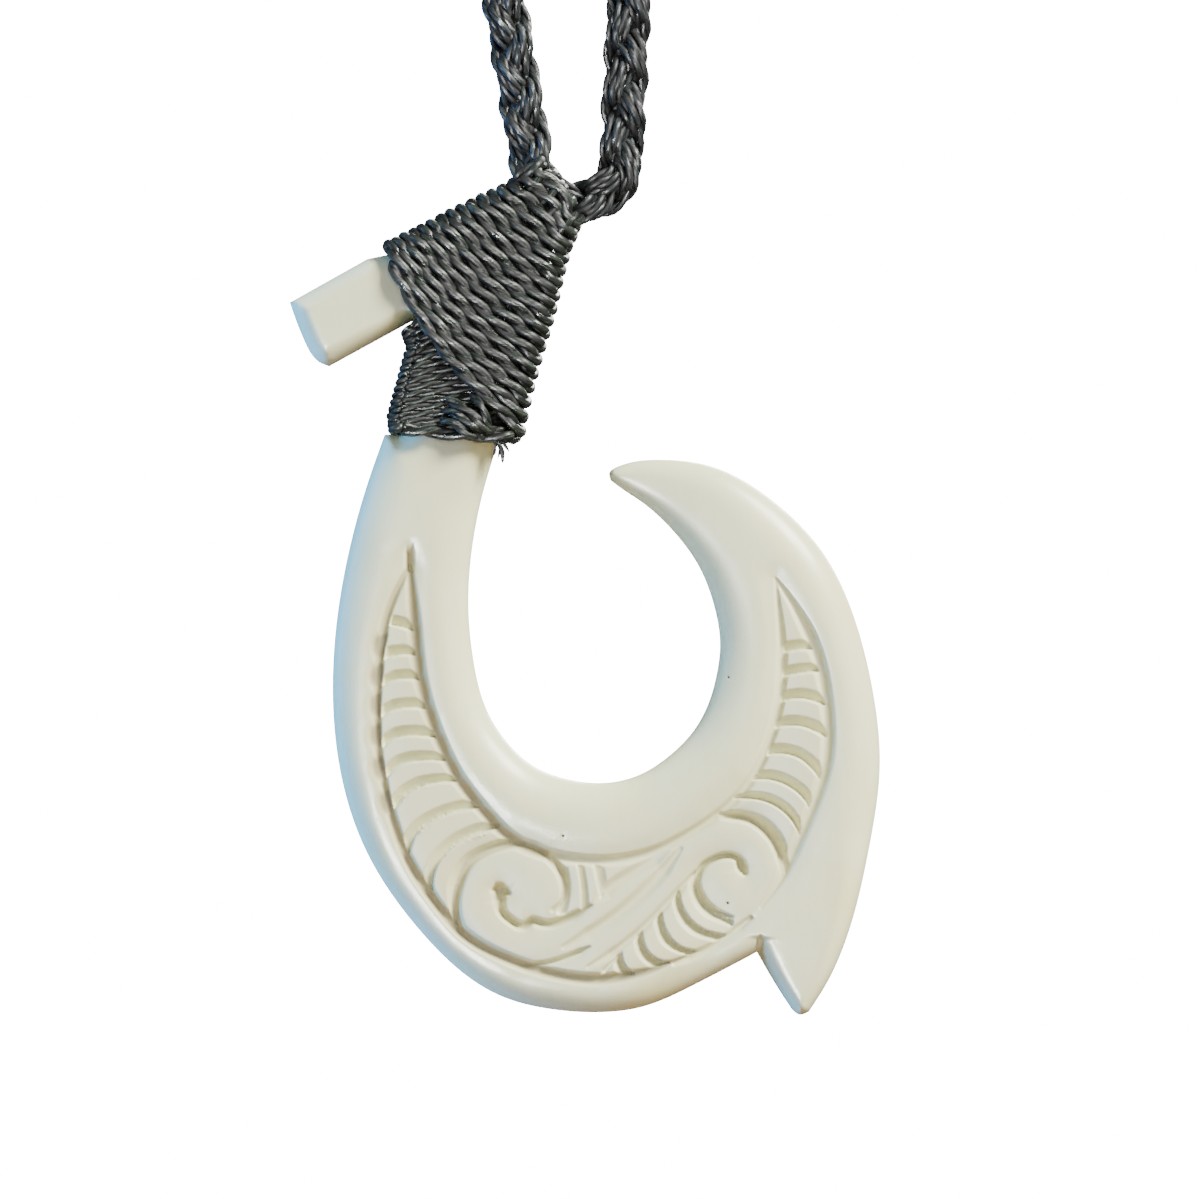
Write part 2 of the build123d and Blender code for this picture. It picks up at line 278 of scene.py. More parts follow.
# Where the lip of a rib was left rough by the chisel, fading out between these distances
CHIPPED = [
    [(402, 797), (415, 789), (428, 784)], [(420, 830), (437, 818), (456, 811)],
    [(443, 856), (456, 843), (484, 833)],
]
CHIP_DEPTH = 0.10
CHIP_RANGE = (-1, 0.5)
CHIP_WIDTHS = (0.05, 0.3)

# Pores of the bone, how deep they are, how far from the middle their wall runs, and the rings of
# points round them
PORES = [(727, 902), (728, 677), (563, 835)]
PORE_DEPTH = 0.12
PORE_WALL = (0.05, 0.14)
PORE_RINGS = (0.0, 0.06, 0.12, 0.2)

# Where the lashings cover the bone, it is painted near black as the shade between and under the
# cords
UNDER_CORD = [
    (392, 250), (430, 232), (528, 186), (560, 200), (562, 240), (536, 360), (520, 424),
    (494, 432), (440, 428), (396, 424), (404, 380), (418, 346), (422, 318),
]

# The neck loop, as the solids have it
SPREAD = radians(CORD_SPREAD_DEG)
LOOP_DROP = (NECK_CORD_LENGTH - 2 * pi * BEND_RADIUS) / (
    2 * cos(SPREAD) + (pi + 2 * SPREAD) * sin(SPREAD)
)
REST_RADIUS = BEND_RADIUS + LOOP_DROP * sin(SPREAD)
REST_CENTRE = np.array([0.0, 0.0, BRAID_DIAMETER / 2 - REST_RADIUS])
BEND_CENTRE = REST_CENTRE - (0.0, 0.0, LOOP_DROP)

# Directions of the hook's plane in the row frame
LEAN = radians(HOOK_LEAN_DEG)
ACROSS = np.array([cos(LEAN), 0.0, -sin(LEAN)])
UP = np.array([sin(LEAN), 0.0, cos(LEAN)])
BACK = np.array([0.0, 1.0, 0.0])

# The one seeded source of all that is uneven
chance = np.random.default_rng(11)


def shares(points):
    """Shares of the hook's width and height as millimetres of the hook's plane."""
    points = np.array(points, float)
    return (points - (SEAT_ACROSS, SEAT_UP)) * (HOOK_WIDTH, HOOK_HEIGHT)


def drawn(points):
    """Drawing units as millimetres of the hook's plane."""
    points = np.array(points, float)
    return (points - DRAWN_BEND) * (1, -1) / UNITS_PER_MM


def placed(points, back):
    """Points of the hook's plane, each this far behind it, in the row frame."""
    back = np.broadcast_to(back, len(points))
    return BEND_CENTRE + points[:, :1] * ACROSS + points[:, 1:] * UP + back[:, None] * BACK


def unit(vector):
    """The vector at length 1."""
    return vector / np.hypot(*vector)


def normed(rows):
    """Each row at length 1."""
    return rows / np.linalg.norm(rows, axis=1)[:, None]


def lengths_along(path):
    """How far along a line each of its points lies."""
    gaps = np.linalg.norm(np.diff(path, axis=0), axis=1)
    return np.concatenate(([0.0], np.cumsum(gaps)))


def smooth(low, high, value):
    """0 below low, 1 above high and an even slope between them."""
    t = np.clip((value - low) / (high - low), 0, 1)
    return t * t * (3 - 2 * t)


def curve(points, step):
    """Points about a step apart along the natural cubic spline through these points."""
    points = np.array(points, float)
    count = len(points)
    knots = lengths_along(points)
    gaps = np.linalg.norm(np.diff(points, axis=0), axis=1)
    system = np.eye(count)
    slopes = np.zeros_like(points)
    for i in range(1, count - 1):
        system[i, i - 1 : i + 2] = gaps[i - 1], 2 * (gaps[i - 1] + gaps[i]), gaps[i]
        after = (points[i + 1] - points[i]) / gaps[i]
        before = (points[i] - points[i - 1]) / gaps[i - 1]
        slopes[i] = 6 * (after - before)
    bends = np.linalg.solve(system, slopes)
    fine = np.linspace(0, knots[-1], ceil(knots[-1] / step) + 1)
    at = np.clip(np.searchsorted(knots, fine, side="right") - 1, 0, count - 2)
    span = gaps[at][:, None]
    left = (knots[at + 1] - fine)[:, None] / span
    right = 1 - left
    bent = (left**3 - left) * bends[at] + (right**3 - right) * bends[at + 1]
    return left * points[at] + right * points[at + 1] + bent * span**2 / 6


def distance(points, line):
    """How far points are from a line, on which side (positive on its right) and where along it."""
    best = np.full(len(points), 1e9)
    side = np.ones(len(points))
    where = np.zeros(len(points))
    passed = 0.0
    for start, end in zip(line[:-1], line[1:]):
        along = end - start
        length = np.hypot(*along)
        offset = points - start
        share = np.clip(offset @ along / length**2, 0, 1)
        gap = np.hypot(*(offset - share[:, None] * along).T)
        nearer = gap < best - 1e-9
        cross = along[1] * offset[:, 0] - along[0] * offset[:, 1]
        best = np.where(nearer, gap, best)
        side = np.where(nearer, np.sign(cross), side)
        where = np.where(nearer, passed + share * length, where)
        passed += length
    return best, side, where / passed


def inside(points, loop):
    """Which points lie inside a closed line."""
    hit = np.zeros(len(points), bool)
    x, y = points.T
    for (ax, ay), (bx, by) in zip(loop, np.roll(loop, -1, axis=0)):
        if ay == by:
            continue
        crosses = (ay > y) != (by > y)
        hit ^= crosses & (x < (bx - ax) * (y - ay) / (by - ay) + ax)
    return hit


def make_piece(name, vertices, faces, values, material, replaced):
    """A mesh piece that rides on the body, from points in millimetres of the row frame."""
    mesh = bpy.data.meshes.new(name)
    mesh.from_pydata((vertices * MM).tolist(), [], faces)
    mesh.update()
    mesh.polygons.foreach_set("use_smooth", [True] * len(mesh.polygons))
    for label, data in values.items():
        kind, field = ("FLOAT", "value") if data.ndim == 1 else ("FLOAT_VECTOR", "vector")
        attribute = mesh.attributes.new(label, kind, "POINT")
        attribute.data.foreach_set(field, np.array(data, np.float32).ravel())
    mesh.materials.append(material)
    piece = bpy.data.objects.new(name, mesh)
    bpy.context.scene.collection.objects.link(piece)
    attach(piece, "root")
    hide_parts(replaced)


# Materials
def fill(tree, node, inputs):
    """Gives inputs of a node plain values or the outputs of other nodes."""
    for label, value in inputs.items():
        socket = node.inputs[label.replace("_", " ")]
        if isinstance(value, bpy.types.NodeSocket):
            tree.links.new(value, socket)
        else:
            socket.default_value = value


def add_node(tree, kind, output, **inputs):
    """The named output of a new node with these inputs."""
    node = tree.nodes.new(kind)
    fill(tree, node, inputs)
    return node.outputs[output]


def new_material(name, **inputs):
    """A material, its nodes and its shader, which has these inputs."""
    material = bpy.data.materials.new(name)
    material.use_nodes = True
    shader = material.node_tree.nodes["Principled BSDF"]
    fill(material.node_tree, shader, inputs)
    return material, material.node_tree, shader


def ramp(tree, factor, stops):
    """A colour ramp driven by this output."""
    node = tree.nodes.new("ShaderNodeValToRGB")
    fill(tree, node, {"Fac": factor})
    first, last = node.color_ramp.elements
    first.position, first.color = stops[0][0], (*stops[0][1], 1)
    last.position, last.color = stops[-1][0], (*stops[-1][1], 1)
    for position, colour in stops[1:-1]:
        node.color_ramp.elements.new(position).color = (*colour, 1)
    return node.outputs["Color"]


def mixed(tree, factor, a, b):
    """Colour a turning into colour b; either may be an output or a plain colour."""
    node = tree.nodes.new("ShaderNodeMix")
    node.data_type = "RGBA"
    tree.links.new(factor, node.inputs["Factor"])
    # The node's inputs 6 and 7 and its output 2 are those for colours
    for socket, colour in ((node.inputs[6], a), (node.inputs[7], b)):
        if isinstance(colour, tuple):
            socket.default_value = (*colour, 1)
        else:
            tree.links.new(colour, socket)
    return node.outputs[2]


def noise(tree, vector, scale, detail, roughness=0.5):
    """Soft noise, mostly between 0.3 and 0.7."""
    inputs = {"Vector": vector, "Scale": scale, "Detail": detail, "Roughness": roughness}
    return add_node(tree, "ShaderNodeTexNoise", "Fac", **inputs)


def stretched(tree, vector, scale):
    """The vector with each axis scaled on its own."""
    return add_node(tree, "ShaderNodeMapping", "Vector", Vector=vector, Scale=scale)


def carried(tree, name, output):
    """A value that the mesh's points carry under this name."""
    node = tree.nodes.new("ShaderNodeAttribute")
    node.attribute_name = name
    return node.outputs[output]


def spread_over(tree, value, low, high):
    """0 to 1 spread over low to high."""
    return add_node(tree, "ShaderNodeMapRange", "Result", Value=value, To_Min=low, To_Max=high)


def bumps(tree, height, strength, reach):
    """A surface direction from a height; reach is in metres."""
    inputs = {"Height": height, "Strength": strength, "Distance": reach}
    return add_node(tree, "ShaderNodeBump", "Normal", **inputs)


CLOUDY_BONE = [(0.3, (0.81, 0.83, 0.49)), (0.5, (0.86, 0.88, 0.56)), (0.72, (0.86, 0.83, 0.43))]
GRAIN = (0.70, 0.66, 0.42)
# Brown of the carved lines, partly dirt and partly the shade painted into the cuts
BROWN = (0.46, 0.415, 0.225)
DEEP_BROWN = (0.21, 0.19, 0.10)
# Near black of the pores, and painted shade where the lashings cover the bone
PORES_AND_SHADE_UNDER_CORDS = (0.02, 0.018, 0.014)


def bone_material():
    """Polished bone: cloudy and finely grained; where carved it is rough and painted brown, as
    dirt and as the shade in the cuts; dark at its pores, and painted shade near black under the
    lashings.
    """
    material, tree, shader = new_material(
        "bone",
        Subsurface_Weight=0.08,
        Subsurface_Radius=(1.0, 0.72, 0.42),
        Subsurface_Scale=0.0004,
        Specular_IOR_Level=0.5,
    )
    place = add_node(tree, "ShaderNodeTexCoord", "Object")
    clouds = ramp(tree, noise(tree, place, 75, 3), CLOUDY_BONE)
    grain = noise(tree, stretched(tree, place, (1500, 1500, 160)), 1, 5, 0.7)
    fresh = mixed(tree, spread_over(tree, grain, -0.1, 0.3), clouds, GRAIN)
    dirt_and_shade = carried(tree, "dirt_and_shade", "Fac")
    # Painted brown where the bone was carved, as dirt and as the shade in the cuts
    browned = mixed(tree, spread_over(tree, dirt_and_shade, 0.0, 1.84), fresh, BROWN)
    deep = mixed(tree, spread_over(tree, dirt_and_shade, -1.0, 1.0), browned, DEEP_BROWN)
    # Painted shade under the lashings, and the dark pores
    colour = mixed(tree, carried(tree, "dark", "Fac"), deep, PORES_AND_SHADE_UNDER_CORDS)
    polish = spread_over(tree, noise(tree, place, 420, 3), 0.24, 0.38)
    worn_rough = spread_over(tree, dirt_and_shade, 0.0, 3.2)
    rough = add_node(tree, "ShaderNodeMix", "Result", Factor=worn_rough, A=polish, B=0.8)
    scratches = bumps(tree, noise(tree, place, 5200, 3, 0.6), 0.10, 0.0001)
    fill(tree, shader, {"Base Color": colour, "Roughness": rough, "Normal": scratches})
    return material


# Along the middle of a ply, away from where it touches the other one; towards the touching side
# the ply is painted dark as the shade in the crevice
PLY_CREST = [(0.12, (0, 0, 0)), (0.5, (1, 1, 1)), (0.88, (0, 0, 0))]


def cord_material(name, dark, pale):
    """Black waxed cord: fibres along each ply, with paler wax in patches along the tops, and
    painted shade darkening each ply where it touches the other.
    """
    material, tree, shader = new_material(name, Specular_IOR_Level=0.46)
    fibre = carried(tree, "fibre", "Vector")
    threads = noise(tree, stretched(tree, fibre, (0.5, 20.0, 1)), 1, 3, 0.6)
    wax = noise(tree, stretched(tree, fibre, (0.8, 2.4, 1)), 1, 3)
    crest = ramp(tree, add_node(tree, "ShaderNodeSeparateXYZ", "Y", Vector=fibre), PLY_CREST)
    streaked = ramp(tree, threads, [(0.35, dark), (0.62, pale)])
    waxed = mixed(tree, spread_over(tree, wax, -1.8, 2.6), dark, streaked)
    # Painted shade: each ply is dark where it touches the other
    colour = mixed(tree, crest, dark, waxed)
    rough = spread_over(tree, wax, 1.25, -0.45)
    ridges = bumps(tree, threads, 0.6, 0.00006)
    fill(tree, shader, {"Base Color": colour, "Roughness": rough, "Normal": ridges})
    return material


BONE = bone_material()
LASHING_CORD = cord_material("waxed_cord", (0.003, 0.004, 0.0035), (0.088, 0.112, 0.095))
BRAID_CORD = cord_material("braided_cord", (0.003, 0.004, 0.0045), (0.115, 0.135, 0.142))
# The core is painted near black, as the shade in the gaps between the braid's strands
CORE_SHADE_CORD = cord_material("core_cord", (0.001, 0.001, 0.001), (0.006, 0.006, 0.006))


# The bone
# Millimetres between the points of its outline, of the carved lines while the depth is worked
# out, of the plain surface and of the carved one, which reaches this far from a carved line
OUTLINE_STEP = 0.3
CARVE_STEP = 0.25
COARSE_PITCH = 0.6
FINE_PITCH = 0.115
FINE_REACH = 1.3
# Points of even triangles keep this share of their pitch from others, and their rows this one
APART = 0.6
ROW_SHARE = 0.866


def bone_outline():
    """The closed outline of the whole bone in the hook's plane."""
    runs = [INNER_EDGE, BACK_EDGE, BARB_TIP, BARB_INSIDE, OUTER_EDGE]
    runs += zip(STUB_EDGES[:-1], STUB_EDGES[1:])
    runs.append(STUB_END)
    runs += zip(HEAD_EDGES[:-1], HEAD_EDGES[1:])
    return np.concatenate([curve(shares(run), OUTLINE_STEP)[:-1] for run in runs])


def body_at(points):
    """The bone's half thickness and the width of its rounding at these points."""
    table = np.array(BODY_POINTS)
    places = shares(table[:, :2])
    gaps = np.hypot(*(points[:, None] - places[None]).transpose(2, 0, 1))
    weights = np.exp(-((gaps / BODY_BLEND) ** 2)) + 1e-12
    weights /= weights.sum(axis=1)[:, None]
    thick, rounding = (weights @ table[:, 2:]).T
    return thick * BONE_THICKNESS / 2, rounding


def rib_relief(points, edges):
    """How deep a row of ribs is cut at these points, and how brown it is painted, as dirt and as
    the shade in the cuts.
    """
    below = []
    for edge in edges:
        gap, side, _ = distance(points, curve(drawn(edge), CARVE_STEP))
        below.append(gap * side)
    depth = np.zeros(len(points))
    dirt_and_shade = np.zeros(len(points))
    for upper, lower in zip([None] + below[:-1], below):
        if upper is None:
            held = lower < 0
            pitch = FIRST_RIB_PITCH
            fall = FIRST_RIB_FALL * (1 - smooth(0, FIRST_RIB_PITCH, -lower))
            lip = 0.0
        else:
            held = (upper >= 0) & (lower < 0)
            pitch = np.maximum(upper - lower, 1e-6)
            fall = upper / pitch
            lip = 1 - smooth(0, LIP_WIDTH, upper)
        cut = np.clip(1 + lower / np.clip(CUT_SHARE * pitch, *CUT_WIDTHS), 0, 1)
        here = np.maximum(RIB_FALL * fall + RIB_CUT * cut**0.8, LIP_DEPTH * lip)
        depth = np.where(held, here, depth)
        # The cut is painted brown, as dirt and as the shade in it
        dirt_and_shade = np.where(held, RIB_DIRT_AND_SHADE * cut**0.6 * (1 - lip), dirt_and_shade)
    return depth, dirt_and_shade


def carved(points):
    """How deep the carving is at these points, and how brown it is painted, as dirt and as the
    shade in the cuts: 0.5 is brown, 1 deep brown.
    """
    depth = np.zeros(len(points))
    dirt_and_shade = np.zeros(len(points))
    for field, strength, edges in RIB_ROWS:
        loop = curve(drawn(field + field[:1]), 0.2)
        near = inside(points, loop)
        fade = strength * smooth(0, RIB_FADE, distance(points[near], loop)[0])
        rib_depth, rib_dirt_and_shade = rib_relief(points[near], edges)
        depth[near] = np.maximum(depth[near], rib_depth * fade)
        dirt_and_shade[near] = np.maximum(dirt_and_shade[near], rib_dirt_and_shade * fade)
    shoulder = np.zeros(len(points))
    for line, start_width, half_width, end_width, full_depth, brown in GROOVES:
        gap, _, where = distance(points, curve(drawn(line), CARVE_STEP))
        widths = [start_width, half_width, half_width, end_width]
        width = np.interp(where, WIDTH_STATIONS, widths)
        share = gap * UNITS_PER_MM / width
        here = full_depth * np.clip(width / half_width, 0, 1)
        depth = np.maximum(depth, here * (1 - smooth(*GROOVE_WALL, share)))
        # Each line is painted brown, as dirt and as the shade in it
        dirt_and_shade = np.maximum(dirt_and_shade, brown * (1 - smooth(*GROOVE_BROWN, share)))
        shoulder += (SHOULDER_SHARE * here * np.exp(-gap / SHOULDER_REACH)) ** 3
    border = drawn(PANEL)
    rim_gap = distance(points, np.concatenate([border, border[:1]]))[0]
    reach = np.where(inside(points, border), rim_gap, -rim_gap)
    outside = 1 - smooth(*POCKET_END, reach)
    for line in POCKETS:
        share = distance(points, drawn(line))[0] * UNITS_PER_MM / POCKET_WIDTH
        depth = np.maximum(depth, POCKET_DEPTH * outside * (1 - smooth(*POCKET_WALL, share)))
        # Painted deep brown in the pockets, as dirt and as shade
        dirt_and_shade = np.maximum(dirt_and_shade, POCKET_DIRT_AND_SHADE * outside * (1 - smooth(*POCKET_BROWN, share)))
    for line in CHIPPED:
        rough = 1 - smooth(*CHIP_WIDTHS, distance(points, curve(drawn(line), CARVE_STEP))[0])
        depth += CHIP_DEPTH * rough * chance.uniform(*CHIP_RANGE, len(points))
    depth += np.cbrt(shoulder) + PANEL_RECESS * smooth(*RIM_SLOPE, reach)
    # Painted shade: the recessed panel is a little darker
    dirt_and_shade = np.maximum(dirt_and_shade, PANEL_SHADE * smooth(*PANEL_SHADE_EDGE, reach))
    return depth, np.minimum(dirt_and_shade / 2, 1)


def hexagons(low, high, pitch):
    """A field of points in even triangles between two corners."""
    xs = np.arange(low[0], high[0], pitch)
    ys = np.arange(low[1], high[1], pitch * ROW_SHARE)
    grid_x, grid_y = np.meshgrid(xs, ys)
    grid_x[1::2] += pitch / 2
    return np.stack([grid_x.ravel(), grid_y.ravel()], axis=1)


def nearest(points, others):
    """How far each point is from the nearest of the others."""
    tree = KDTree(len(others))
    for i, (x, y) in enumerate(others):
        tree.insert((x, y, 0), i)
    tree.balance()
    return np.array([tree.find((x, y, 0))[2] for x, y in points])


def spaced(chosen, more, apart):
    """The chosen points, and of the others those that are at least this far from them."""
    return np.concatenate([chosen, more[nearest(more, chosen) >= apart]])


def edge_points(rim, closed):
    """The outline and rings of points inside it, closer together towards the rim."""
    step = np.roll(rim, -1, axis=0) - np.roll(rim, 1, axis=0)
    inward = normed(np.stack([-step[:, 1], step[:, 0]], axis=1))
    if not inside(rim[:1] + 0.05 * inward[:1], rim)[0]:
        inward = -inward
    cloud = rim
    for last, reach in zip(EDGE_RINGS[:-1], EDGE_RINGS[1:]):
        ring = rim + reach * inward
        true_gap = distance(ring, closed)[0]
        ring = ring[inside(ring, rim) & (true_gap > 0.97 * reach)]
        cloud = spaced(cloud, ring, 0.8 * (reach - last))
    return cloud


def carving_points(cloud, rim):
    """Adds rings of points round the pores and a fine field along the carved lines."""
    angles = np.linspace(0, 2 * pi, 9)[:-1]
    circle = np.stack([np.cos(angles), np.sin(angles)], axis=1)
    for pore in drawn(PORES):
        for reach in PORE_RINGS:
            cloud = spaced(cloud, pore + reach * circle, 0.03)
    panel = np.concatenate([drawn(field) for field, *_ in RIB_ROWS])
    fine = hexagons(panel.min(axis=0) - 1, panel.max(axis=0) + 1.5, FINE_PITCH)
    lines = [line for line, *_ in GROOVES]
    lines += [edge for *_, edges in RIB_ROWS for edge in edges]
    cuts = np.concatenate([curve(drawn(line), 0.6) for line in lines])
    fine = fine[nearest(fine, cuts) < FINE_REACH]
    fine = fine[inside(fine, rim)]
    return spaced(cloud, fine, APART * FINE_PITCH)


def bone_side(rim, carve):
    """One face: points, brown painted as dirt and shade, darkness of the pores and of the painted
    shade under the cords, triangles, and where the rim's points are among them.
    """
    closed = np.concatenate([rim, rim[:1]])
    cloud = edge_points(rim, closed)
    if carve:
        cloud = carving_points(cloud, rim)
    coarse = hexagons(rim.min(axis=0), rim.max(axis=0), COARSE_PITCH)
    coarse = coarse[inside(coarse, rim)]
    coarse = coarse[distance(coarse, closed)[0] > EDGE_RINGS[-1]]
    cloud = spaced(cloud, coarse, APART * COARSE_PITCH)
    made = delaunay_2d_cdt([Vector(p) for p in cloud], [], [list(range(len(rim)))], 1, 1e-7)
    flat = np.array([tuple(p) for p in made[0]])
    order = np.full(len(rim), -1)
    for i, sources in enumerate(made[3]):
        for source in sources:
            if source < len(rim):
                order[source] = i
    gap = distance(flat, closed)[0]
    half, rounding = body_at(flat)
    share = np.clip(gap / rounding, 0, 1)
    height = half - EDGE_DROP * half * (1 - np.sqrt(1 - (1 - share) ** 2))
    dirt_and_shade = np.zeros(len(flat))
    pores = np.zeros(len(flat))
    if carve:
        depth, dirt_and_shade = carved(flat)
        for pore in drawn(PORES):
            spot = 1 - smooth(*PORE_WALL, np.hypot(*(flat - pore).T))
            pores = np.maximum(pores, spot)
        kept = DEPTH_AT_RIM + (1 - DEPTH_AT_RIM) * smooth(*FULL_DEPTH, gap)
        height -= depth * kept + PORE_DEPTH * pores
    # Painted shade: near black where the lashings cover the bone, and the dark pores
    dark = np.maximum(pores, inside(flat, drawn(UNDER_CORD)))
    return placed(flat, -height if carve else height), dirt_and_shade, dark, made[2], order


def make_bone():
    """The carved bone: a front and a back that share one outline, joined round it."""
    rim = bone_outline()
    front, front_dirt_and_shade, front_dark, front_faces, front_rim = bone_side(rim, carve=True)
    back, back_dirt_and_shade, back_dark, back_faces, back_rim = bone_side(rim, carve=False)
    vertices = np.concatenate([front, back])
    shift = len(front)
    faces = [tuple(face) for face in front_faces]
    faces += [tuple(i + shift for i in reversed(face)) for face in back_faces]
    ring = list(zip(front_rim.tolist(), (back_rim + shift).tolist()))
    faces += [(a, b, d, c) for (a, c), (b, d) in zip(ring, ring[1:] + ring[:1])]
    values = {
        "dirt_and_shade": np.concatenate([front_dirt_and_shade, back_dirt_and_shade]),
        "dark": np.concatenate([front_dark, back_dark]),
    }
    make_piece("carved_hook", vertices, faces, values, BONE, "bone_hook")


# Twisted cord
# Radius of a ply and how far its middle lies from the cord's, in shares of the cord's thickness
PLY_RADIUS = 0.31
PLY_OFFSET = 0.19
# How a cord's thickness and twist wander: every so many points, and by about how much
UNEVEN_SIZE = (12, 0.03)
UNEVEN_TWIST = (20, 0.15)
CORD_STEP = 0.24


def resampled(*runs):
    """One line through these runs of points, with even steps."""
    path = np.concatenate(runs)
    knots = lengths_along(path)
    even = np.linspace(0, knots[-1], ceil(knots[-1] / CORD_STEP) + 1)
    return np.stack([np.interp(even, knots, axis) for axis in path.T], axis=1)


def frames(path):
    """Two sides of a line at each point that don't spin round it."""
    forward = normed(np.gradient(path, axis=0))
    # No cord here starts along this direction
    side = np.cross(forward[0], (0.31, 0.2, 0.93))
    side /= np.linalg.norm(side)
    sides = [side]
    for ahead in forward[1:]:
        side = side - ahead * (side @ ahead)
        side = side / np.linalg.norm(side)
        sides.append(side)
    sides = np.array(sides)
    return sides, np.cross(forward, sides)


def wander(count, spacing, amount):
    """A smooth random line of this many values."""
    knots = max(3, count // spacing + 2)
    values = chance.normal(0, amount, knots)
    return np.interp(np.linspace(0, knots - 1, count), np.arange(knots), values)


def twisted(path, thickness, pitch, sides, phase=0.0, taper=0.0):
    """A cord of two twisted plies along a line: its points, faces and fibre coordinates."""
    across, out = frames(path)
    along = lengths_along(path)
    count = len(path)
    size = 1 + wander(count, *UNEVEN_SIZE)
    if taper:
        ends = np.minimum(along, along[-1] - along)
        size = size * np.sqrt(np.clip(ends / taper, 0.02, 1))
    ply_radius = thickness * PLY_RADIUS * size
    ply_offset = thickness * PLY_OFFSET * size
    ring = np.arange(sides) * 2 * pi / sides
    points = []
    faces = []
    fibre = []
    for ply in range(2):
        turn = 2 * pi * (ply / 2 - along / pitch) + phase + wander(count, *UNEVEN_TWIST)
        centre = path + ply_offset[:, None] * (
            np.cos(turn)[:, None] * across + np.sin(turn)[:, None] * out
        )
        # The seam of the fibre coordinates faces the other ply
        angles = turn[:, None] + pi + ring[None]
        skin = centre[:, None] + ply_radius[:, None, None] * (
            np.cos(angles)[..., None] * across[:, None] + np.sin(angles)[..., None] * out[:, None]
        )
        points.append(skin.reshape(-1, 3))
        lengthwise = np.repeat(along, sides)
        around = np.tile(ring, count) / (2 * pi)
        number = np.full(count * sides, 10.0 * ply + phase)
        fibre.append(np.stack([lengthwise, around, number], axis=1))
        start = ply * count * sides
        rows = np.arange(count - 1)[:, None] * sides
        spokes = np.arange(sides)[None]
        ahead = (spokes + 1) % sides
        quads = np.stack(
            [rows + spokes, rows + ahead, rows + sides + ahead, rows + sides + spokes], axis=-1
        )
        faces += (quads.reshape(-1, 4) + start).tolist()
        faces.append([start + i for i in range(sides)][::-1])
        faces.append([start + (count - 1) * sides + i for i in range(sides)])
    return np.concatenate(points), faces, np.concatenate(fibre)


def cord_piece(name, cords, material, replaced):
    """Several cords as one piece."""
    points = []
    faces = []
    fibre = []
    total = 0
    for number, (skin, quads, coordinates) in enumerate(cords):
        faces += [[i + total for i in quad] for quad in quads]
        points.append(skin)
        fibre.append(coordinates + (0, 0, 37.0 * number))
        total += len(skin)
    values = {"fibre": np.concatenate(fibre)}
    make_piece(name, np.concatenate(points), faces, values, material, replaced)


# Lashing round the head
# The front of each turn goes from the top edge (x, y) to the right edge (x, y) of the drawing
TURNS = 17
WRAP_ENDS = [
    (383, 251, 519, 431), (405, 240, 528, 388), (440, 222, 543, 335), (480, 202, 556, 285),
    (515, 184, 567, 244), (534, 168, 575, 226),
]
WRAP_CORD = 1.12
WRAP_TWIST = 4.8
WRAP_TAPER = 0.6
WRAP_CENTRE = HEAD_THICKNESS / 2 + CLEARANCE + WRAP_THICKNESS / 2
CORNER = 1.05
# How far the front of the turns bows, from the first turn to the last
BOW_STATIONS = [0, 0.4, 0.8, 1]
BOWS = [0.85, 0.5, 0.0, -0.6]
BACK_BOW = -0.3
# The first turns lie on top of the shank's turns, each of them less
TURNS_OVER_SHANK = 3
OVER_SHANK = 0.42
# Bights of cord over the upper right corner of the head: where, which way out, how far in from
# there they turn and end, and how deep their ends are tucked
KNUCKLES = [(538, 166), (549, 177), (559, 190), (568, 205), (575, 221)]
KNUCKLE_OUT = np.array([0.82, 0.57])
KNUCKLE_INSET = 0.75
KNUCKLE_TUCK = 1.5
KNUCKLE_SINK = 0.3
KNUCKLE_CORD = 1.04
KNUCKLE_TWIST = 5.8


def corner_arc(point, direction, from_back, to_back, radius=CORNER):
    """The way round an edge of the head from one face to the other."""
    angles = np.linspace(0, pi / 2, 6)
    out = radius * np.sin(angles)[:, None]
    rise = np.sign(to_back - from_back) * radius * (1 - np.cos(angles))
    first = placed(point + out * direction, from_back + rise)
    second = placed(point + out[::-1] * direction, to_back - rise[::-1])
    return np.concatenate([first, second])


def bowed(start, end, bow):
    """A line between two points that bows to its right by this many millimetres."""
    along = end - start
    middle = (start + end) / 2 + bow * unit(np.array([along[1], -along[0]]))
    return curve([start, middle, end], 0.4)


def head_lashing_runs():
    """One cord that goes over the front of the head and back behind it, turn after turn."""
    ends = curve(WRAP_ENDS, 0.5)
    share = np.linspace(0, 1, TURNS)
    ends = ends[(share * (len(ends) - 1)).round().astype(int)]
    tops = drawn(ends[:, :2])
    rights = drawn(ends[:, 2:])
    bows = np.interp(share, BOW_STATIONS, BOWS)
    runs = []
    for k in range(TURNS):
        start, end = tops[k], rights[k]
        way = unit(end - start)
        front = bowed(start + way * CORNER, end - way * CORNER, bows[k])
        over = np.linspace(0, 1, len(front))
        lift = OVER_SHANK * max(0, 1 - k / TURNS_OVER_SHANK)
        lift = lift * smooth(0.25, 0.5, over) * smooth(0, 0.1, 1 - over)
        runs.append(placed(front, -WRAP_CENTRE - lift))
        runs.append(corner_arc(end - way * CORNER, way, -WRAP_CENTRE, WRAP_CENTRE))
        if k + 1 == TURNS:
            break
        after = tops[k + 1]
        way = unit(end - after)
        back = bowed(end - way * CORNER, after + way * CORNER, BACK_BOW)
        runs.append(placed(back, WRAP_CENTRE))
        runs.append(corner_arc(after + way * CORNER, -way, WRAP_CENTRE, -WRAP_CENTRE))
    return runs


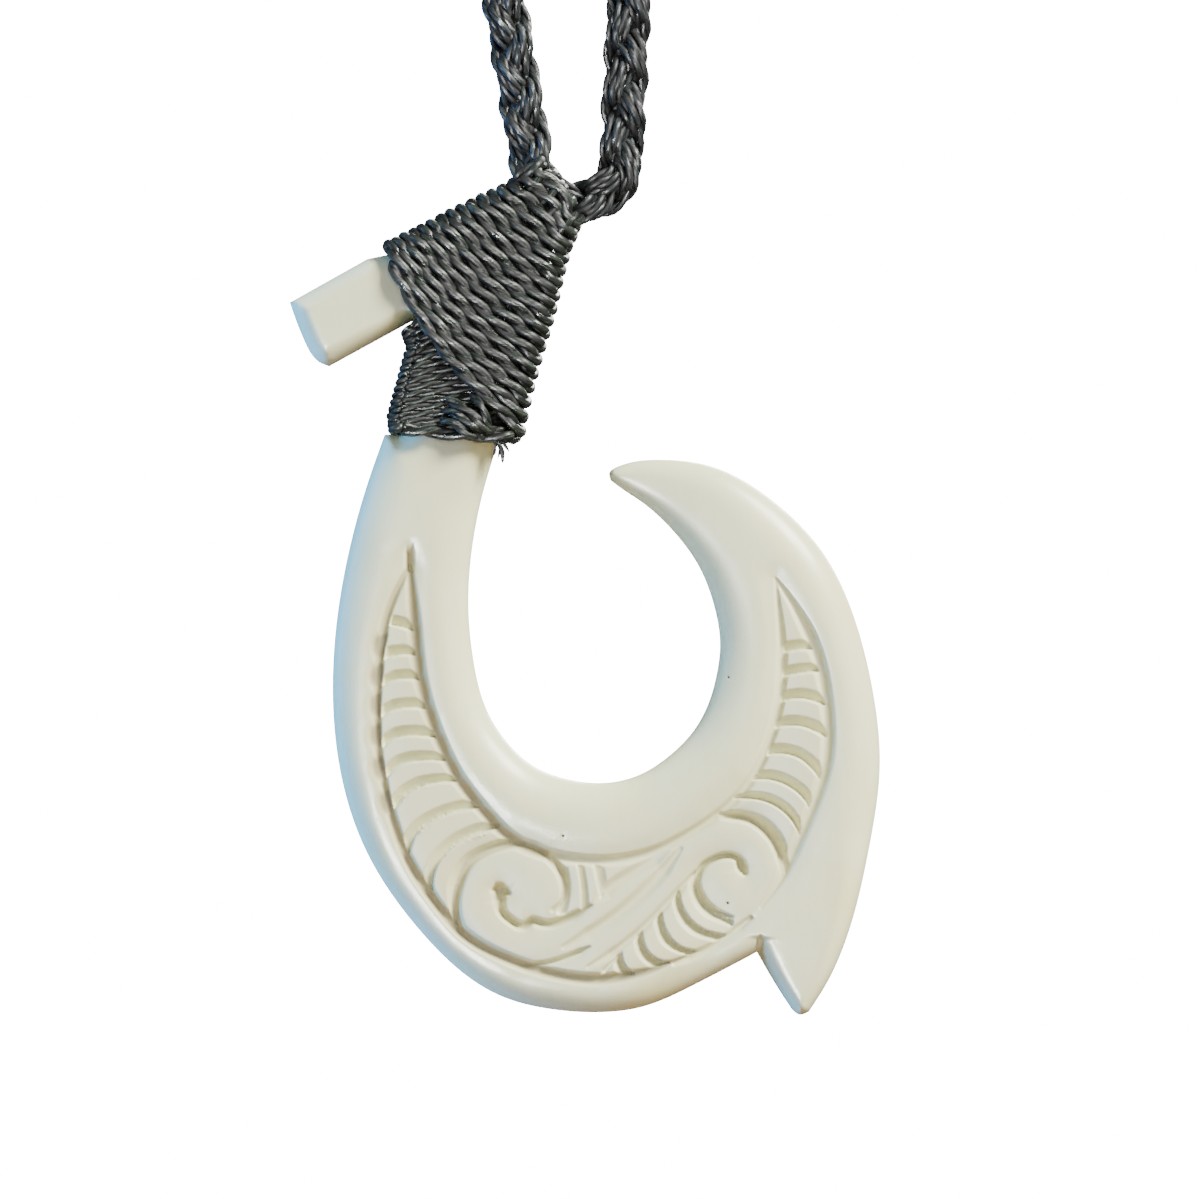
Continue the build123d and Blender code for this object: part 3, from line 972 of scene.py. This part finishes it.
def make_head_lashing():
    """The slanting turns round the head and the bights over its corner."""
    path = resampled(*head_lashing_runs())
    cords = [twisted(path, WRAP_CORD, WRAP_TWIST, 8, taper=WRAP_TAPER)]
    for number, spot in enumerate(drawn(KNUCKLES)):
        turned = spot - KNUCKLE_INSET * KNUCKLE_OUT
        tucked = np.array([turned - KNUCKLE_TUCK * KNUCKLE_OUT])
        path = resampled(
            placed(tucked, -WRAP_CENTRE + KNUCKLE_SINK),
            corner_arc(turned, KNUCKLE_OUT, -WRAP_CENTRE, WRAP_CENTRE),
            placed(tucked, WRAP_CENTRE - KNUCKLE_SINK),
        )
        cords.append(twisted(path, KNUCKLE_CORD, KNUCKLE_TWIST, 8, 1.3 * number, WRAP_TAPER))
    cord_piece("head_turns", cords, LASHING_CORD, "head_lashing")


# Lashing round the shank
# Each turn: x and y of its left end, of its right end, its thickness, and how far its front sags
FIRST_TURNS = [
    (405, 334, 424, 319, 0.62, 0.0),
    (406, 338, 430, 326, 0.62, 0.0),
    (408, 343, 436, 334, 0.62, 0.0),
]
LAST_TURNS = [
    (392, 422, 496, 420, 0.7, 0.0),
    (392, 426, 502, 430, 0.7, 0.0),
    (395, 429, 508, 437, 1.1, 0.15),
]
# The even turns between them go from these ends to those, the left one a little faster
LEVEL_TURNS = 11
LEVEL_FROM = np.array([410, 349, 440, 341])
LEVEL_TO = np.array([391, 417, 500, 413])
LEFT_EASE = 0.9
LEVEL_CORD = 0.68
LEVEL_SAG = -0.12
SHANK_CORNER = 0.7
SHANK_TWIST = 5.4
# At its right end a turn dips in: this far on, and this far behind the hook's middle plane
DIP_ON = np.array([[0.3], [0.5], [0.5], [0.3]])
DIP_BACK = np.array([-1.6, -0.7, 0.7, 1.6])
# The knot on the shank turns and the frayed tail below them: drawn points, how far they lie in
# front of the hook's middle plane, and the thickness
KNOT_AND_TAIL = [
    ([(446, 401, 2.8), (460, 407, 3.7), (477, 420, 3.9), (493, 437, 3.0)], 0.85),
    ([(443, 410, 2.8), (458, 416, 3.7), (474, 428, 3.9), (487, 439, 3.0)], 0.85),
    ([(440, 420, 2.8), (454, 424, 3.7), (467, 433, 3.9), (478, 440, 3.1)], 0.8),
    ([(470, 396, 2.8), (480, 404, 3.9), (487, 420, 3.9), (494, 434, 3.0)], 0.7),
    ([(490, 434, 3.0), (499, 443, 3.0), (503, 456, 2.9), (503, 464, 2.8)], 0.42),
    ([(492, 434, 3.0), (504, 444, 2.8), (510, 453, 2.5)], 0.30),
    ([(490, 436, 3.0), (496, 446, 3.0), (494, 457, 2.9)], 0.26),
    ([(494, 438, 3.0), (500, 450, 2.7), (498, 460, 2.5)], 0.22),
]
KNOT_TWIST = 5.0
KNOT_TAPER = 0.3


def shank_turn(ends, thickness, sag, phase):
    """One closed turn round the shank, between two drawn points."""
    start, end = drawn([ends[:2], ends[2:]])
    way = unit(end - start)
    centre = HEAD_THICKNESS / 2 + CLEARANCE + thickness / 2
    front = bowed(start + way * SHANK_CORNER, end, sag)
    path = resampled(
        placed(front, -centre),
        placed(end + way * DIP_ON, DIP_BACK),
        placed(front[::-1], centre),
        corner_arc(start + way * SHANK_CORNER, -way, centre, -centre, SHANK_CORNER),
    )
    return twisted(path, thickness, SHANK_TWIST * thickness, 7, phase)


def make_shank_lashing():
    """The level turns round the shank, their knot and its tail."""
    turns = list(FIRST_TURNS)
    for share in np.linspace(0, 1, LEVEL_TURNS):
        passed = np.array([share**LEFT_EASE, share, share, share])
        turns.append((*(LEVEL_FROM + passed * (LEVEL_TO - LEVEL_FROM)), LEVEL_CORD, LEVEL_SAG))
    turns += LAST_TURNS
    cords = []
    for number, (*ends, thickness, sag) in enumerate(turns):
        cords.append(shank_turn(ends, thickness, sag, 1.7 * number))
    for number, (line, thickness) in enumerate(KNOT_AND_TAIL):
        flat = curve([row[:2] for row in line], 2.0)
        spots = np.linspace(0, 1, len(flat))
        lift = np.interp(spots, np.linspace(0, 1, len(line)), [row[2] for row in line])
        path = resampled(placed(drawn(flat), -lift))
        cords.append(twisted(path, thickness, KNOT_TWIST * thickness, 6, number, KNOT_TAPER))
    cord_piece("shank_turns", cords, LASHING_CORD, "shank_lashing")


# The braided neck cord
# Each strand is three twisted cords side by side, the middle one raised. It swings to the sides
# and, twice as often, to the front and back.
STRANDS = 3
BRAID_PERIODS = 49
BRAID_SWING = 0.95
BRAID_DEPTH = 0.6
CORD_OFFSETS = [(-0.62, 0.0), (0.0, 0.34), (0.62, 0.0)]
CORD_THICKNESS = 0.9
CORE_THICKNESS = 1.7
BRAID_TWIST = 4.6
# A strand is this much narrower at the sides than in the middle
STRAND_SQUEEZE = 0.25
# The loop is finer this far to either side of its lowest point, the only part in the photograph
NEAR_LENGTH = 75
NEAR_STEP = 0.36
FAR_STEP = 0.62
CORE_STEP = 1.2


def loop_points(along):
    """The neck loop's centre line and its outward side, this far from its lowest point."""
    bend_arc = BEND_RADIUS * (pi / 2 - SPREAD)
    side_length = LOOP_DROP * cos(SPREAD)
    along = np.mod(along, NECK_CORD_LENGTH)
    mirrored = along > NECK_CORD_LENGTH / 2
    past_bend = np.where(mirrored, NECK_CORD_LENGTH - along, along) - bend_arc
    past_side = past_bend - side_length
    turned = np.minimum(past_bend, 0) / BEND_RADIUS + np.maximum(past_side, 0) / REST_RADIUS
    angle = pi / 2 - SPREAD + turned
    outward = np.stack([np.sin(angle), 0 * angle, -np.cos(angle)], axis=1)
    climbed = np.clip(past_bend, 0, side_length)[:, None] * (sin(SPREAD), 0, cos(SPREAD))
    low_points = BEND_CENTRE + BEND_RADIUS * outward + climbed
    high_points = REST_CENTRE + REST_RADIUS * outward
    points = np.where(past_side[:, None] > 0, high_points, low_points)
    flip = np.where(mirrored, -1.0, 1.0)[:, None] * (1, 0, 0) + np.array([0, 1, 1])
    return points * flip, outward * flip


def make_braid():
    """Three strands plaited round a core that fills the gaps between them, painted near black as
    the shade in those gaps.
    """
    near = np.arange(-NEAR_LENGTH, NEAR_LENGTH, NEAR_STEP)
    far = np.arange(NEAR_LENGTH, NECK_CORD_LENGTH - NEAR_LENGTH, FAR_STEP)
    along = np.concatenate([near, far, [NECK_CORD_LENGTH - NEAR_LENGTH]])
    centre, outward = loop_points(along)
    wave = 2 * pi * BRAID_PERIODS * along / NECK_CORD_LENGTH
    for strand in range(STRANDS):
        phase = wave + 2 * pi * strand / STRANDS
        line = centre + BRAID_SWING * np.sin(phase)[:, None] * outward
        line = line + BRAID_DEPTH * np.sin(2 * phase)[:, None] * BACK
        forward = normed(np.gradient(line, axis=0))
        flank = normed(np.cross(forward, BACK))
        top = np.cross(flank, forward)
        squeeze = 1 - STRAND_SQUEEZE * np.sin(phase) ** 2
        facing = np.tanh(3 * np.sin(2 * phase))
        cords = []
        for aside, above in CORD_OFFSETS:
            path = line + (aside * squeeze)[:, None] * flank + (above * facing)[:, None] * top
            cords.append(twisted(path, CORD_THICKNESS, BRAID_TWIST, 6, strand * 2.1 + aside))
        cord_piece(f"neck_strand_{strand + 1}", cords, BRAID_CORD, "neck_cord")
    core_line = loop_points(np.arange(0, NECK_CORD_LENGTH + CORE_STEP / 2, CORE_STEP))[0]
    core = twisted(core_line, CORE_THICKNESS, BRAID_TWIST, 7)
    cord_piece("neck_core", [core], CORE_SHADE_CORD, "neck_cord")


make_bone()
make_head_lashing()
make_shank_lashing()
make_braid()


# Stage, light and camera, in metres
HOOK_CENTRE = Vector((0, 0, -0.32))
# Each light: name, place, size, power, colour, and whether it lights matt and shiny surfaces
LIGHTS = [
    ("key", (0.52, -0.38, 0.16), 0.26, 22.0, (1.0, 0.985, 0.92), True, True),
    ("front", (0.05, -0.6, -0.2), 0.4, 1.0, (1.0, 1.0, 0.94), True, False),
    ("glint", (-0.19, -0.56, -0.49), 0.08, 10.0, (1.0, 1.0, 1.0), False, True),
    ("blue", (-0.6, 0.0, -0.34), 0.2, 11.0, (0.02, 0.32, 1.0), True, False),
    ("sky", (-0.6, -0.05, -0.2), 0.3, 1.5, (0.45, 0.72, 1.0), True, True),
    ("warm low", (0.1, -0.2, -0.75), 0.3, 0.9, (1.0, 0.62, 0.34), True, False),
    ("back", (0.25, 0.55, 0.0), 0.4, 9.0, (1.0, 0.985, 0.93), True, True),
]
SOFT_LIGHT = {"Color": (0.97, 1.0, 0.96, 1), "Strength": 0.11}
WHITE_GROUND = {"Color": (1, 1, 1, 1), "Strength": 20.0}
CAMERA_DISTANCE = 0.55
# The picture's width and middle in drawing units
PICTURE_WIDTH = 1200
PICTURE_CENTRE = (600, 599.5)


def make_light(name, place, size, power, colour, matt, shiny):
    """A soft square light that faces the hook."""
    data = bpy.data.lights.new(name, "AREA")
    data.size = size
    data.energy = power
    data.color = colour
    light = bpy.data.objects.new(name, data)
    light.location = place
    light.rotation_mode = "QUATERNION"
    light.rotation_quaternion = (HOOK_CENTRE - Vector(place)).to_track_quat("-Z", "Y")
    light.visible_diffuse = matt
    light.visible_glossy = shiny
    bpy.context.scene.collection.objects.link(light)


def make_world():
    """Plain white to the camera, and a softer even light on the object."""
    world = bpy.data.worlds.new("world")
    bpy.context.scene.world = world
    world.use_nodes = True
    tree = world.node_tree
    soft = tree.nodes["Background"]
    fill(tree, soft, SOFT_LIGHT)
    mix = tree.nodes.new("ShaderNodeMixShader")
    fill(tree, mix, {"Fac": add_node(tree, "ShaderNodeLightPath", "Is Camera Ray")})
    tree.links.new(soft.outputs["Background"], mix.inputs[1])
    white = add_node(tree, "ShaderNodeBackground", "Background", **WHITE_GROUND)
    tree.links.new(white, mix.inputs[2])
    fill(tree, tree.nodes["World Output"], {"Surface": mix.outputs["Shader"]})


def make_camera():
    """The photograph's view: straight on, rolled with the hook's lean."""
    target = placed(drawn([PICTURE_CENTRE]), 0.0)[0] * MM
    width = PICTURE_WIDTH / UNITS_PER_MM * MM
    data = bpy.data.cameras.new("camera")
    data.sensor_width = 36
    data.lens = data.sensor_width * CAMERA_DISTANCE / width
    data.clip_start = 0.01
    camera = bpy.data.objects.new("camera", data)
    turned = Matrix(np.stack([ACROSS, UP, -BACK], axis=1).tolist()).to_4x4()
    camera.matrix_world = Matrix.Translation(target - BACK * CAMERA_DISTANCE) @ turned
    bpy.context.scene.collection.objects.link(camera)
    bpy.context.scene.camera = camera


make_world()
for light_row in LIGHTS:
    make_light(*light_row)
make_camera()
